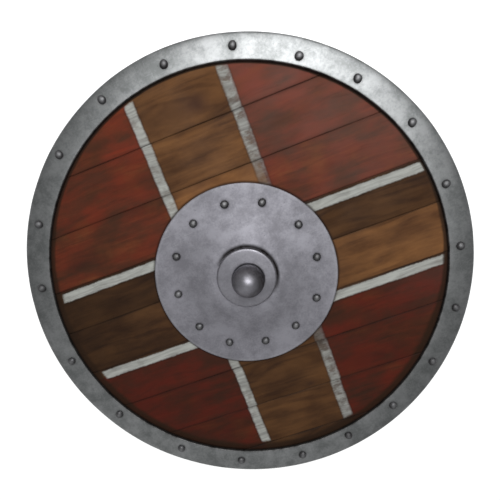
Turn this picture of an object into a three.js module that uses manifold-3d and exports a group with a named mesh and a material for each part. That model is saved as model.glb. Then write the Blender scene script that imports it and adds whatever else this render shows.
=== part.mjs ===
// Wooden round shield with a steel rim and a domed steel boss, lying on its back.
// Millimetres, +Z up out of the painted face. The planks run along X and the origin
// is on the surface that it lies on, below the centre of the board.
import * as THREE from 'three';
import * as BufferGeometryUtils from 'three/addons/utils/BufferGeometryUtils.js';
import Module from 'manifold-3d';

const wasm = await Module();
wasm.setup();

// Clearances
const SEAT_GAP = 0.3;
const SHANK_CLEARANCE = 0.35;

// Rim band
const SHIELD_RADIUS = 305;
const RIM_STEEL = 2;
const RIM_FRONT_WIDTH = 33.5;
const RIM_BACK_WIDTH = 27;
const RIM_CROWN_HEIGHT = 5;
const RIM_CROWN_WIDTH = 16;
const RIM_SHOULDER_DROP = 1.8;
const RIM_SHOULDER_WIDTH = 1.8;
const RIM_LIP_BEVEL = 1.5;
const RIM_LIP_DROP = 0.5;
const RIM_BACK_BEVEL = 1.5;
const RIM_SEGMENTS = 52;

// Board
const BOARD_THICKNESS = 12;
const MIDDLE_JOINT_Y = 5;
const HOLE_TO_UPPER_JOINT = 10;
const HOLE_TO_LOWER_JOINT = 6;
const UPPER_PLANK_WIDTHS = [72, 68, 96];
const LOWER_PLANK_WIDTHS = [64, 65, 64, 47];
const PLANK_JOINT_GAP = 0.6;
const HAND_HOLE_RADIUS = 56;
const EDGE_STEP_DEGREES = 6;
const HAND_HOLE_SIDES = 32;

// Boss, set a little off the centre of the board
const BOSS_RADIUS = 125.5;
const BOSS_OFF_CENTRE_X = -0.5;
const BOSS_OFF_CENTRE_Y = -1.1;
const BOSS_STEEL = 2.5;
const BOSS_EDGE_HEIGHT = 2.6;
const BOSS_EDGE_BEVEL = 1.2;
const BOSS_FLANGE_WIDTH = 36;
const BOSS_FLANGE_RISE = 2.6;
const BOSS_CROWN_HEIGHT = 18.9;
const BOSS_CROWN_MARGIN = 1;
const BOSS_DOME_STEPS = 4;
const BOSS_SEGMENTS = 38;

// Collar, off the centre of the board the other way, and the knob's ball, off its collar
const COLLAR_OFF_CENTRE_X = 2.5;
const COLLAR_OFF_CENTRE_Y = 0.5;
const COLLAR_RADIUS = 39.5;
const COLLAR_THICKNESS = 4.5;
const COLLAR_BEVEL = 1.5;
const BALL_OFF_COLLAR_X = 1.3;
const BALL_OFF_COLLAR_Y = -2.5;
const KNOB_RADIUS = 21;
const KNOB_CENTRE_ABOVE_COLLAR = 9;
const KNOB_SET_IN = 0.6;
const KNOB_STEPS = 6;
const TANG_RADIUS = 6;
const TANG_PEEN_RADIUS = 10;
const TANG_PEEN_HEIGHT = 2.5;
const TANG_HOLE_SIDES = 14;
const KNOB_SEGMENTS = 24;

// Rivets, set out by eye round their circles: degrees anticlockwise from +X
const RIVET_HEAD_RADIUS = 5.7;
const RIVET_HEAD_HEIGHT = 3.6;
const RIVET_SHOULDER_RADIUS = 4.1;
const RIVET_SHOULDER_HEIGHT = 2.7;
const RIVET_SHANK_RADIUS = 3;
const RIVET_PEEN_RADIUS = 5;
const RIVET_PEEN_HEIGHT = 2;
const RIVET_SIDES = 8;
const RIM_RIVET_FROM_EDGE = 17;
const RIM_RIVET_ANGLES = [
  56, 40.5, 23, 5, -12, -29, -45.5, -62.5, -78.5, -93.5,
  -112, -130.5, -152, -173.5, 163.5, 145.5, 126, 108, 90, 72.5,
];
const RIM_RIVETS_SET_IN = [
  5.5, 4, 2, 4.5, 2.5, 0, 0, 3.5, 4.5, 1,
  1.5, 2.5, 3.5, 4, 2.5, 0, -2.5, -2, 2.5, 0,
];
const BOSS_RIVET_FROM_EDGE = 27.5;
const BOSS_RIVET_ANGLES = [57, 24.5, -5, -38, -66, -94, -124, -152, 175.5, 144, 114, 85.5];
const BOSS_RIVETS_SET_IN = [-3, -1, -1, -3.5, -1, 0.5, -1.5, -0.5, 1, 0.5, -1.5, -2];

// Hand grip and battens on the back
const BATTEN_DEPTH = 16;
const BATTEN_WIDTH = 30;
const BATTEN_X = 130;
const BATTEN_EDGE_CHAMFER = 2.5;
const BATTEN_END_SLOPE = 14;
const BATTEN_END_DEPTH = 7;
const BACK_BAR_CLEARANCE = 9;
const GRIP_LENGTH = 520;
const GRIP_HAND_INSIDE_HOLE = 11;
const GRIP_SHOULDER_OUTSIDE_HOLE = 17;
const GRIP_HAND_THICKNESS = 15;
const GRIP_RIVET_THICKNESS = 12;
const GRIP_END_THICKNESS = 7;
const GRIP_HAND_WIDTH = 33;
const GRIP_SHOULDER_WIDTH = 42;
const GRIP_END_WIDTH = 22;
const GRIP_HAND_CHAMFER = 5;
const GRIP_END_CHAMFER = 1.5;

// Levels and radii that follow from the sizes above
const boardBack = BATTEN_DEPTH + SEAT_GAP;
const boardFace = boardBack + BOARD_THICKNESS;
const rimInsideFlat = (SHIELD_RADIUS - RIM_STEEL) * Math.cos(Math.PI / RIM_SEGMENTS);
const boardRadius = rimInsideFlat - SEAT_GAP;
const rimCrownTop = boardFace + RIM_CROWN_HEIGHT;
const rimBackFace = boardBack - SEAT_GAP - RIM_STEEL;
const rimRivetRadius = SHIELD_RADIUS - RIM_RIVET_FROM_EDGE;
const bossRivetRadius = BOSS_RADIUS - BOSS_RIVET_FROM_EDGE;
const bossFlangeInner = BOSS_RADIUS - BOSS_FLANGE_WIDTH;
const bossSeat = boardFace + SEAT_GAP;
const collarOffCentre = Math.hypot(
  COLLAR_OFF_CENTRE_X - BOSS_OFF_CENTRE_X, COLLAR_OFF_CENTRE_Y - BOSS_OFF_CENTRE_Y,
);
const bossCrownRadius = COLLAR_RADIUS + collarOffCentre + BOSS_CROWN_MARGIN;
const holeRadius = RIVET_SHANK_RADIUS + SHANK_CLEARANCE;
const barRadius = SHIELD_RADIUS - RIM_BACK_WIDTH - BACK_BAR_CLEARANCE;
const gripHalfLength = Math.min(GRIP_LENGTH / 2, barRadius);
const gripHandReach = HAND_HOLE_RADIUS - GRIP_HAND_INSIDE_HOLE;
const gripShoulderReach = HAND_HOLE_RADIUS + GRIP_SHOULDER_OUTSIDE_HOLE;

const radians = (degrees) => (degrees * Math.PI) / 180;
const mix = (a, b, t) => a + (b - a) * t;
const smooth = (t) => t * t * (3 - 2 * t);

// Materials
const paintedWood = { color: 0x6b2c22, roughness: 0.8, metalness: 0 };
const bareWood = { color: 0x6e5236, roughness: 0.85, metalness: 0 };
const rimSteel = { color: 0x9a9ea0, roughness: 0.45, metalness: 0.9 };
const bossSteel = { color: 0x8b8c94, roughness: 0.5, metalness: 0.9 };
const rivetIron = { color: 0x6f7070, roughness: 0.5, metalness: 0.9 };

const shield = new THREE.Group();

function addPiece(name, geometry, look) {
  const mesh = new THREE.Mesh(geometry, new THREE.MeshStandardMaterial(look));
  mesh.name = name;
  shield.add(mesh);
  return mesh;
}

// Merge shared corners and drop triangles that close up to nothing
function weld(geometry) {
  const bare = geometry.clone();
  bare.deleteAttribute('normal');
  bare.deleteAttribute('uv');
  const merged = BufferGeometryUtils.mergeVertices(bare, 1e-4);
  const index = merged.index.array;
  const kept = [];
  for (let i = 0; i < index.length; i += 3) {
    const [a, b, c] = [index[i], index[i + 1], index[i + 2]];
    if (a !== b && b !== c && c !== a) kept.push(a, b, c);
  }
  merged.setIndex(kept);
  return merged;
}

function toSolid(geometry) {
  const welded = weld(geometry);
  return new wasm.Manifold(new wasm.Mesh({
    numProp: 3,
    vertProperties: new Float32Array(welded.attributes.position.array),
    triVerts: new Uint32Array(welded.index.array),
  }));
}

function toGeometry(solid) {
  const mesh = solid.getMesh();
  const geometry = new THREE.BufferGeometry();
  geometry.setAttribute('position', new THREE.BufferAttribute(mesh.vertProperties, 3));
  geometry.setIndex(new THREE.BufferAttribute(mesh.triVerts, 1));
  geometry.computeVertexNormals();
  return geometry;
}

// A turned body about Z from [radius, height] points, anticlockwise as seen in section
function turned(profile, segments) {
  const points = profile.map(([r, z]) => new THREE.Vector2(r, z));
  return new THREE.LatheGeometry(points, segments).rotateX(Math.PI / 2);
}

function ringProfile(profile) {
  return [...profile, profile[0]];
}

// An upright drill, for the holes that shanks pass through, longer than the shield is thick
function drill(x, y, radius, sides = RIVET_SIDES) {
  const length = 2 * (boardFace + BOSS_CROWN_HEIGHT + COLLAR_THICKNESS + KNOB_RADIUS);
  const cylinder = new THREE.CylinderGeometry(radius, radius, length, sides);
  return toSolid(cylinder.rotateX(Math.PI / 2).translate(x, y, 0));
}

function onCircle(radius, degrees) {
  return [radius * Math.cos(radians(degrees)), radius * Math.sin(radians(degrees))];
}

// Some rivets sit a little inside their circle or outside it
const rimRivets = RIM_RIVET_ANGLES.map((angle, i) => (
  onCircle(rimRivetRadius - RIM_RIVETS_SET_IN[i], angle)
));
const bossRivets = BOSS_RIVET_ANGLES.map((angle, i) => (
  onCircle(bossRivetRadius - BOSS_RIVETS_SET_IN[i], angle)
));

// Cuts only the holes that reach into the body
function drilled(body, places, radius = holeRadius) {
  const { min, max } = body.boundingBox();
  const near = places.filter(([x, y]) => (
    x > min[0] - radius && x < max[0] + radius && y > min[1] - radius && y < max[1] + radius
  ));
  return near.reduce((left, [x, y]) => left.subtract(drill(x, y, radius)), body);
}

// Distances of the joints from the middle: the first one beside the hand hole, and the
// others where planks of these widths, sawn to fit, fill the rest of the board
function jointsOutwards(first, widths) {
  const toFill = (boardRadius - first) / widths.reduce((sum, width) => sum + width, 0);
  const joints = [first];
  for (const width of widths.slice(0, -1)) joints.push(joints.at(-1) + width * toFill);
  return joints;
}

// Board: where the planks meet, from the top down
function jointLines() {
  const above = jointsOutwards(HAND_HOLE_RADIUS + HOLE_TO_UPPER_JOINT, UPPER_PLANK_WIDTHS);
  const below = jointsOutwards(HAND_HOLE_RADIUS + HOLE_TO_LOWER_JOINT, LOWER_PLANK_WIDTHS);
  return [...above.reverse(), MIDDLE_JOINT_Y, ...below.map((y) => -y)];
}

// One plank: a strip of the round board between two levels, low and high
function plankOutline(low, high) {
  const from = Math.asin(Math.max(low / boardRadius, -1));
  const to = Math.asin(Math.min(high / boardRadius, 1));
  const steps = Math.max(2, Math.ceil((to - from) / radians(EDGE_STEP_DEGREES)));
  const right = [];
  for (let i = 0; i <= steps; i += 1) {
    const angle = mix(from, to, i / steps);
    right.push(new THREE.Vector2(boardRadius * Math.cos(angle), boardRadius * Math.sin(angle)));
  }
  const left = right.map((point) => new THREE.Vector2(-point.x, point.y)).reverse();
  const onAxis = (point) => Math.abs(point.x) < 1e-6;
  return new THREE.Shape([...right, ...left.filter((point) => !onAxis(point))]);
}

function plank(low, high) {
  const settings = { depth: BOARD_THICKNESS, bevelEnabled: false };
  const strip = new THREE.ExtrudeGeometry(plankOutline(low, high), settings);
  const handHole = drill(0, 0, HAND_HOLE_RADIUS, HAND_HOLE_SIDES);
  const body = toSolid(strip.translate(0, 0, boardBack)).subtract(handHole);
  return drilled(body, [...rimRivets, ...bossRivets]);
}

function addPlanks() {
  const joints = jointLines();
  const tops = [boardRadius, ...joints.map((y) => y - PLANK_JOINT_GAP / 2)];
  const bottoms = [...joints.map((y) => y + PLANK_JOINT_GAP / 2), -boardRadius];
  tops.forEach((top, i) => {
    addPiece(`plank_${i + 1}`, toGeometry(plank(bottoms[i], top)), paintedWood);
  });
}

// Rim: a channel of sheet steel with a raised front, a turned-down lip and a flat back flange
function addRim() {
  const outer = SHIELD_RADIUS;
  const inner = outer - RIM_FRONT_WIDTH;
  const back = outer - RIM_BACK_WIDTH;
  const crownFrom = rimRivetRadius - RIM_CROWN_WIDTH / 2;
  const crownTo = rimRivetRadius + RIM_CROWN_WIDTH / 2;
  const shoulder = rimCrownTop - RIM_SHOULDER_DROP;
  const profile = ringProfile([
    [back, rimBackFace],
    [outer - RIM_BACK_BEVEL, rimBackFace],
    [outer, rimBackFace + RIM_BACK_BEVEL],
    [outer, shoulder - RIM_SHOULDER_WIDTH],
    [outer - RIM_SHOULDER_WIDTH, shoulder],
    [crownTo, rimCrownTop],
    [crownFrom, rimCrownTop],
    [inner + RIM_LIP_BEVEL, rimCrownTop - RIM_LIP_DROP],
    [inner, rimCrownTop - RIM_LIP_BEVEL],
    [inner, bossSeat],
    [inner + RIM_STEEL, bossSeat],
    [inner + RIM_STEEL, rimCrownTop - RIM_STEEL - RIM_LIP_DROP],
    [crownTo, rimCrownTop - RIM_STEEL],
    [outer - RIM_STEEL, shoulder - RIM_SHOULDER_WIDTH],
    [outer - RIM_STEEL, boardBack - SEAT_GAP],
    [back, boardBack - SEAT_GAP],
  ]);
  const body = toSolid(turned(profile, RIM_SEGMENTS));
  addPiece('rim', toGeometry(drilled(body, rimRivets)), rimSteel);
}

// A rivet: domed head on its seat, shank through the work and a low peened tail
function rivet(seat, tail) {
  const profile = [
    [0, tail - RIVET_PEEN_HEIGHT],
    [RIVET_PEEN_RADIUS, tail],
    [RIVET_SHANK_RADIUS, tail],
    [RIVET_SHANK_RADIUS, seat],
    [RIVET_HEAD_RADIUS, seat],
    [RIVET_SHOULDER_RADIUS, seat + RIVET_SHOULDER_HEIGHT],
    [0, seat + RIVET_HEAD_HEIGHT],
  ];
  return toGeometry(toSolid(turned(profile, RIVET_SIDES)));
}

function addRivets(prefix, places, ends) {
  places.forEach(([x, y], i) => {
    const { seat, tail } = ends(x, y);
    const number = String(i + 1).padStart(2, '0');
    addPiece(`${prefix}_${number}`, rivet(seat, tail), rivetIron).position.set(x, y, 0);
  });
}

// Height of the boss's outer surface above the board, out along its radius
function bossHeight(radius) {
  if (radius >= bossFlangeInner) {
    const t = (BOSS_RADIUS - radius) / BOSS_FLANGE_WIDTH;
    return BOSS_EDGE_HEIGHT + BOSS_FLANGE_RISE * t;
  }
  const t = Math.min(1, (bossFlangeInner - radius) / (bossFlangeInner - bossCrownRadius));
  const shape = mix(t, smooth(t), 0.5);
  return mix(BOSS_EDGE_HEIGHT + BOSS_FLANGE_RISE, BOSS_CROWN_HEIGHT, shape);
}

// Boss: a flat flange for the rivets, a low dome, and a flat crown under the collar
function addBoss() {
  const outside = [];
  const inside = [];
  for (let i = 0; i <= BOSS_DOME_STEPS; i += 1) {
    const radius = mix(bossFlangeInner, bossCrownRadius, i / BOSS_DOME_STEPS);
    const height = boardFace + bossHeight(radius);
    outside.push([radius, height]);
    inside.push([radius, height - BOSS_STEEL]);
  }
  const crown = boardFace + BOSS_CROWN_HEIGHT;
  const profile = [
    [0, crown - BOSS_STEEL],
    ...inside.reverse(),
    [bossFlangeInner, bossSeat],
    [BOSS_RADIUS, bossSeat],
    [BOSS_RADIUS, boardFace + BOSS_EDGE_HEIGHT - BOSS_EDGE_BEVEL],
    [BOSS_RADIUS - BOSS_EDGE_BEVEL, boardFace + BOSS_EDGE_HEIGHT],
    ...outside,
    [0, crown],
  ];
  const dome = turned(profile, BOSS_SEGMENTS);
  const tangHole = drill(
    COLLAR_OFF_CENTRE_X, COLLAR_OFF_CENTRE_Y, TANG_RADIUS + SHANK_CLEARANCE, TANG_HOLE_SIDES,
  );
  const inPlace = toSolid(dome.translate(BOSS_OFF_CENTRE_X, BOSS_OFF_CENTRE_Y, 0));
  const body = drilled(inPlace, bossRivets).subtract(tangHole);
  addPiece('boss', toGeometry(body), bossSteel);
}

// Knob: a ball on a round collar, with a tang peened over inside the boss
function addKnob() {
  const base = boardFace + BOSS_CROWN_HEIGHT + SEAT_GAP;
  const top = base + COLLAR_THICKNESS;
  const centre = top + KNOB_CENTRE_ABOVE_COLLAR;
  const underCrown = boardFace + BOSS_CROWN_HEIGHT - BOSS_STEEL - SEAT_GAP;
  const collar = [
    [0, underCrown - TANG_PEEN_HEIGHT],
    [TANG_PEEN_RADIUS, underCrown - TANG_PEEN_HEIGHT / 2],
    [TANG_PEEN_RADIUS, underCrown],
    [TANG_RADIUS, underCrown],
    [TANG_RADIUS, base],
    [COLLAR_RADIUS, base],
    [COLLAR_RADIUS, top - COLLAR_BEVEL],
    [COLLAR_RADIUS - COLLAR_BEVEL, top],
    [0, top],
  ];
  const start = -Math.asin((KNOB_CENTRE_ABOVE_COLLAR + KNOB_SET_IN) / KNOB_RADIUS);
  const ball = [[0, top - KNOB_SET_IN]];
  for (let i = 0; i <= KNOB_STEPS; i += 1) {
    const angle = mix(start, Math.PI / 2, i / KNOB_STEPS);
    const radius = i === KNOB_STEPS ? 0 : KNOB_RADIUS * Math.cos(angle);
    ball.push([radius, centre + KNOB_RADIUS * Math.sin(angle)]);
  }
  const ballInPlace = turned(ball, KNOB_SEGMENTS).translate(BALL_OFF_COLLAR_X, BALL_OFF_COLLAR_Y, 0);
  const body = toSolid(turned(collar, KNOB_SEGMENTS)).add(toSolid(ballInPlace));
  const piece = addPiece('knob', toGeometry(body), bossSteel);
  piece.position.set(COLLAR_OFF_CENTRE_X, COLLAR_OFF_CENTRE_Y, 0);
}

// The corners of a bar's section: a rectangle with chamfered edges
function barSection([y, width, front, thickness, chamfer]) {
  const [w, c, back] = [width / 2, chamfer, front - thickness];
  return [
    [-w + c, y, back], [w - c, y, back], [w, y, back + c], [w, y, front - c],
    [w - c, y, front], [-w + c, y, front], [-w, y, front - c], [-w, y, back + c],
  ];
}

// A bar along Y, lofted through stations: [y, width, front, thickness, chamfer]
function loftedBar(stations) {
  const sections = stations.map(barSection);
  const positions = sections.flat(2);
  const corners = sections[0].length;
  const index = [];
  const last = (stations.length - 1) * corners;
  for (let s = 0; s < stations.length - 1; s += 1) {
    for (let i = 0; i < corners; i += 1) {
      const a = s * corners + i;
      const b = s * corners + ((i + 1) % corners);
      index.push(a, a + corners, b, b, a + corners, b + corners);
    }
  }
  for (let i = 1; i < corners - 1; i += 1) {
    index.push(0, i, i + 1);
    index.push(last, last + i + 1, last + i);
  }
  const geometry = new THREE.BufferGeometry();
  geometry.setAttribute('position', new THREE.Float32BufferAttribute(positions, 3));
  geometry.setIndex(index);
  return geometry;
}

// Grip: a bar across the hand hole, rounded where the hand closes on it, flared beside the
// hole and tapered to thin ends. Two of the boss's rivets go through it.
function gripStation(share) {
  const y = share * gripHalfLength;
  const out = Math.abs(y);
  const front = BATTEN_DEPTH;
  if (out <= gripHandReach) {
    return [y, GRIP_HAND_WIDTH, front, GRIP_HAND_THICKNESS, GRIP_HAND_CHAMFER];
  }
  if (out <= gripShoulderReach) {
    return [y, GRIP_SHOULDER_WIDTH, front, GRIP_RIVET_THICKNESS, GRIP_END_CHAMFER];
  }
  const t = Math.max(0, (out - bossRivetRadius) / (gripHalfLength - bossRivetRadius));
  const width = mix(GRIP_SHOULDER_WIDTH, GRIP_END_WIDTH, t);
  return [y, width, front, mix(GRIP_RIVET_THICKNESS, GRIP_END_THICKNESS, t), GRIP_END_CHAMFER];
}

function isThroughGrip(x, y) {
  return Math.abs(x) < GRIP_SHOULDER_WIDTH / 2 && Math.abs(y) < gripHalfLength;
}

function addGrip() {
  const levels = [gripHandReach, gripShoulderReach, BOSS_RADIUS];
  const shares = [0, ...levels.map((y) => y / gripHalfLength), 1];
  const stations = [...shares.slice(1).reverse().map((share) => -share), ...shares];
  const body = toSolid(loftedBar(stations.map(gripStation)));
  addPiece('grip', toGeometry(drilled(body, bossRivets)), bareWood);
}

// Battens: two straight bars beside the grip, with ends that slope to the board
function addBattens() {
  const outerEdge = BATTEN_X + BATTEN_WIDTH / 2;
  const half = Math.sqrt(barRadius ** 2 - outerEdge ** 2);
  const full = half - BATTEN_END_SLOPE;
  const station = (y, depth) => [y, BATTEN_WIDTH, BATTEN_DEPTH, depth, BATTEN_EDGE_CHAMFER];
  const stations = [
    station(-half, BATTEN_END_DEPTH),
    station(-full, BATTEN_DEPTH),
    station(full, BATTEN_DEPTH),
    station(half, BATTEN_END_DEPTH),
  ];
  for (const [name, x] of [['batten_left', -BATTEN_X], ['batten_right', BATTEN_X]]) {
    addPiece(name, weld(loftedBar(stations)), bareWood).position.set(x, 0, 0);
  }
}

addPlanks();
addRim();
addRivets('rim_rivet', rimRivets, () => ({
  seat: rimCrownTop + SEAT_GAP,
  tail: rimBackFace - SEAT_GAP,
}));
addBoss();
addKnob();
addGrip();
addRivets('boss_rivet', bossRivets, (x, y) => {
  const [, , front, thickness] = gripStation(y / gripHalfLength);
  const fromBossCentre = Math.hypot(x - BOSS_OFF_CENTRE_X, y - BOSS_OFF_CENTRE_Y);
  return {
    seat: boardFace + bossHeight(fromBossCentre - RIVET_HEAD_RADIUS) + SEAT_GAP,
    tail: isThroughGrip(x, y) ? front - thickness - SEAT_GAP : boardBack - SEAT_GAP,
  };
});
addBattens();

export default shield;
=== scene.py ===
import math

import bmesh
import bpy
import numpy as np
from mathutils import Matrix, Vector


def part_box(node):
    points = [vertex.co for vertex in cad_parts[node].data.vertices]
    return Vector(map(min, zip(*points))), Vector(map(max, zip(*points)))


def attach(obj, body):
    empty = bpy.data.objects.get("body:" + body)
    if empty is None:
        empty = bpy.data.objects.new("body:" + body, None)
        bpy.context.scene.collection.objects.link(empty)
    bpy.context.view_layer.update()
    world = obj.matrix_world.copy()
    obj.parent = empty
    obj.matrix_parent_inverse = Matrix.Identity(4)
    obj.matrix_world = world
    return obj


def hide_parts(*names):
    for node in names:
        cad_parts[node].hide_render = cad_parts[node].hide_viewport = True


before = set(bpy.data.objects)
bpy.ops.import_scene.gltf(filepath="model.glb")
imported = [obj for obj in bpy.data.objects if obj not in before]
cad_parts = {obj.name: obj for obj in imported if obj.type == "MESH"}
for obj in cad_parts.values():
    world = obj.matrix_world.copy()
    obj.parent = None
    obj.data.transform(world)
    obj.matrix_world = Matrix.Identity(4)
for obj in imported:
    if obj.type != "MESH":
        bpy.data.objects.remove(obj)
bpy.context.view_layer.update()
MM = 0.001

# The camera. It looks down from close above the shield, a little towards the picture's upper
# edge. The planks rise to the right in the picture, so its frame is the shield's frame turned.
# Its places are in mm from the middle of the board, X to the picture's right and Y up it.
PLANK_RISE = math.radians(20.6)
CAMERA_PLACE = (19.5, 111.5, 442.9)
CAMERA_AIM = (5.7, 34.7, 0.0)
CAMERA_LENS = 23.86
FACE_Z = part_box("plank_5")[1].z


def turned_to_shield(x, y, z):
    """A direction in the picture's frame, in the shield's own frame"""
    cos, sin = math.cos(PLANK_RISE), math.sin(PLANK_RISE)
    return Vector((x * cos + y * sin, y * cos - x * sin, z))


def from_picture(x, y, z):
    """A place in mm in the picture's frame, in the shield's own frame"""
    return turned_to_shield(x, y, z) * MM + Vector((0, 0, FACE_Z))


def aimed(place, aim):
    """The pose of a camera or lamp at place that looks at aim, the picture's up kept upright"""
    look = (aim - place).normalized()
    side = look.cross(turned_to_shield(0, 1, 0)).normalized()
    up = side.cross(look)
    turn = Matrix((side, up, -look)).transposed().to_4x4()
    return Matrix.Translation(place) @ turn


camera = bpy.data.objects.new("camera", bpy.data.cameras.new("camera"))
camera.data.lens = CAMERA_LENS
camera.data.sensor_width = 36
camera.data.clip_start = 0.01
camera.matrix_world = aimed(from_picture(*CAMERA_PLACE), from_picture(*CAMERA_AIM))
bpy.context.collection.objects.link(camera)
bpy.context.scene.camera = camera

# The board. Nine sawn planks butt edge to edge, rounded and dirty along their joints, with a
# hand hole through the middle two. A red field is painted on each quarter, and white stripes
# border the bare wood of the cross between them. Worn paint lets the grain through.
BOARD_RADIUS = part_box("plank_5")[1].x
HAND_HOLE_RADIUS = 56 * MM
ROW_STEP = 1.6 * MM
COLUMNS = 84
EDGE_ROWS = np.array([0, 0.2, 0.5, 0.9, 1.4, 2.1, 3.0]) * MM
HOLE_ROWS = np.array([0, 0.1, 0.4, 1.0, 2.0]) * MM
CLOSEST_ROWS = 0.05 * MM
SAME_POINT = 0.002 * MM
ARC_LEFT = 0.3 * MM
JOINT_SWELL = 0.26 * MM
JOINT_DIRT_REACH = 1.6 * MM


def noise_field(x, y, cell_x, cell_y, seed):
    """Smooth noise from 0 to 1 over cells of that size, the same each time"""
    side = 512
    values = np.random.default_rng(seed).random((side, side))
    u, v = x / cell_x, y / cell_y
    i, j = np.floor(u).astype(int), np.floor(v).astype(int)
    fu, fv = u - i, v - j
    fu, fv = fu * fu * (3 - 2 * fu), fv * fv * (3 - 2 * fv)

    def at(a, b):
        return values[a % side, b % side]

    low = at(i, j) * (1 - fu) + at(i + 1, j) * fu
    high = at(i, j + 1) * (1 - fu) + at(i + 1, j + 1) * fu
    return low * (1 - fv) + high * fv


def add_piece(name, points, faces, material, replaces=(), attributes=None, crease=40):
    """A closed mesh piece that rides on the shield, with a number per point for each attribute"""
    mesh = bpy.data.meshes.new(name)
    mesh.from_pydata(points.tolist(), [], faces)
    for label, values in (attributes or {}).items():
        layer = mesh.attributes.new(label, "FLOAT", "POINT")
        layer.data.foreach_set("value", np.ascontiguousarray(values, dtype=np.float32).ravel())
    shell = bmesh.new()
    shell.from_mesh(mesh)
    bmesh.ops.remove_doubles(shell, verts=shell.verts, dist=SAME_POINT)
    bmesh.ops.recalc_face_normals(shell, faces=shell.faces)
    shell.to_mesh(mesh)
    shell.free()
    mesh.shade_smooth()
    mesh.set_sharp_from_angle(angle=math.radians(crease))
    mesh.materials.append(material)
    piece = bpy.data.objects.new(name, mesh)
    bpy.context.collection.objects.link(piece)
    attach(piece, "root")
    if replaces:
        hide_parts(*replaces)
    return piece


def plank_rows(low, high):
    """Levels of a plank's rows of points, close together at its edges and at the hand hole"""
    inner = np.arange(low + EDGE_ROWS[-1] + ROW_STEP, high - EDGE_ROWS[-1], ROW_STEP)
    rows = [low + EDGE_ROWS, high - EDGE_ROWS, inner]
    for level in (HAND_HOLE_RADIUS, -HAND_HOLE_RADIUS):
        if low < level < high:
            rows.append(level - math.copysign(1, level) * HOLE_ROWS)
    rows = np.unique(np.round(np.concatenate(rows), 6))
    return rows[np.concatenate([[True], np.diff(rows) > CLOSEST_ROWS])]


def half_plank(rows, side):
    """Points of one half of a plank, from the middle or the hand hole out to the board's arc"""
    hole = np.sqrt(np.maximum(HAND_HOLE_RADIUS ** 2 - rows ** 2, 0))
    arc = np.sqrt(np.maximum(BOARD_RADIUS ** 2 - rows ** 2, 0))
    share = np.linspace(0, 1, COLUMNS)
    x = side * (hole[:, None] + (arc - hole)[:, None] * share[None, :])
    y = np.repeat(rows[:, None], COLUMNS, axis=1)
    return x, y, hole


# Knots: middle in mm, half length along the grain, half width across it and darkness
KNOTS = [
    (19, 229, 20, 15, 0.6), (175, -45, 8, 4, 0.4), (139, -175, 12, 7, 0.5), (31, -184, 9, 5, 0.6),
    (-150, 168, 8, 4, 0.35), (152, 100, 13, 7, 0.4), (-214, 92, 20, 6, 0.6), (-120, -158, 8, 5, 0.3),
]
# How far a knot bends the grain round it, in its own half lengths and half widths
KNOT_REACH_ALONG, KNOT_REACH_ACROSS = 3.5, 2.2


def knots_at(x, y):
    """How far the grain is pushed aside, in metres, and how much of the surface is knot"""
    flow, knot = np.zeros_like(x), np.zeros_like(x)
    for middle_x, middle_y, length, width, darkness in KNOTS:
        dx, dy = x / MM - middle_x, y / MM - middle_y
        reach = (dx / (length * KNOT_REACH_ALONG)) ** 2 + (dy / (width * KNOT_REACH_ACROSS)) ** 2
        flow -= np.tanh(dy / width) * width * 0.9 * np.exp(-reach) * MM
        core = np.exp(-((dx / length) ** 2 + (dy / width) ** 2) * 1.6)
        knot = np.maximum(knot, core * darkness)
    return flow, knot


# How far each plank's face lies below the board's, and the depths of its relief, in mm. Knocks
# take a share of the face, and the back has a share of the face's relief
PLANK_LEVELS = [0.1, 0.35, 0.0, 0.3, 0.05, 0.3, 0.1, 0.4, 0.15]
CUP_DEPTH, WAVE_DEPTH, FURROW_DEPTH, FINE_FURROW_DEPTH, KNOCK_DEPTH = 0.25, 0.3, 0.13, 0.1, 0.45
KNOCK_SHARE = 0.14
BACK_RELIEF = 0.6


def plank_relief(x, y, low, high, number):
    """Depth below the plank's full face: cupped, rounded at its edges, furrowed by the grain"""
    flow, knot = knots_at(x, y)
    grain_y = y + flow
    from_edge = np.minimum(y - low, high - y)
    half = (high - low) / 2
    cup = CUP_DEPTH * ((y - low - half) / half) ** 2
    level = PLANK_LEVELS[number - 1]
    edge = noise_field(x, y * 0 + number, 22 * MM, 1, 11)
    edge = edge + 0.6 * noise_field(x, y * 0, 6 * MM, 1, 12)
    width = (0.5 + 0.8 * edge) * MM
    rounding = (0.3 + 0.4 * edge) * np.clip(1 - from_edge / width, 0, 1) ** 2
    furrows = FURROW_DEPTH * noise_field(x, grain_y, 70 * MM, 4.2 * MM, 20 + number)
    furrows += FINE_FURROW_DEPTH * noise_field(x, grain_y, 30 * MM, 1.9 * MM, 40 + number)
    waves = WAVE_DEPTH * noise_field(x, y, 90 * MM, 26 * MM, 60 + number)
    knocks = np.clip(noise_field(x, y, 11 * MM, 9 * MM, 80 + number) - 1 + KNOCK_SHARE, 0, 1)
    knocks = KNOCK_DEPTH * knocks / KNOCK_SHARE
    return (level + cup + rounding + furrows + waves + knocks - 0.15 * knot) * MM


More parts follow.
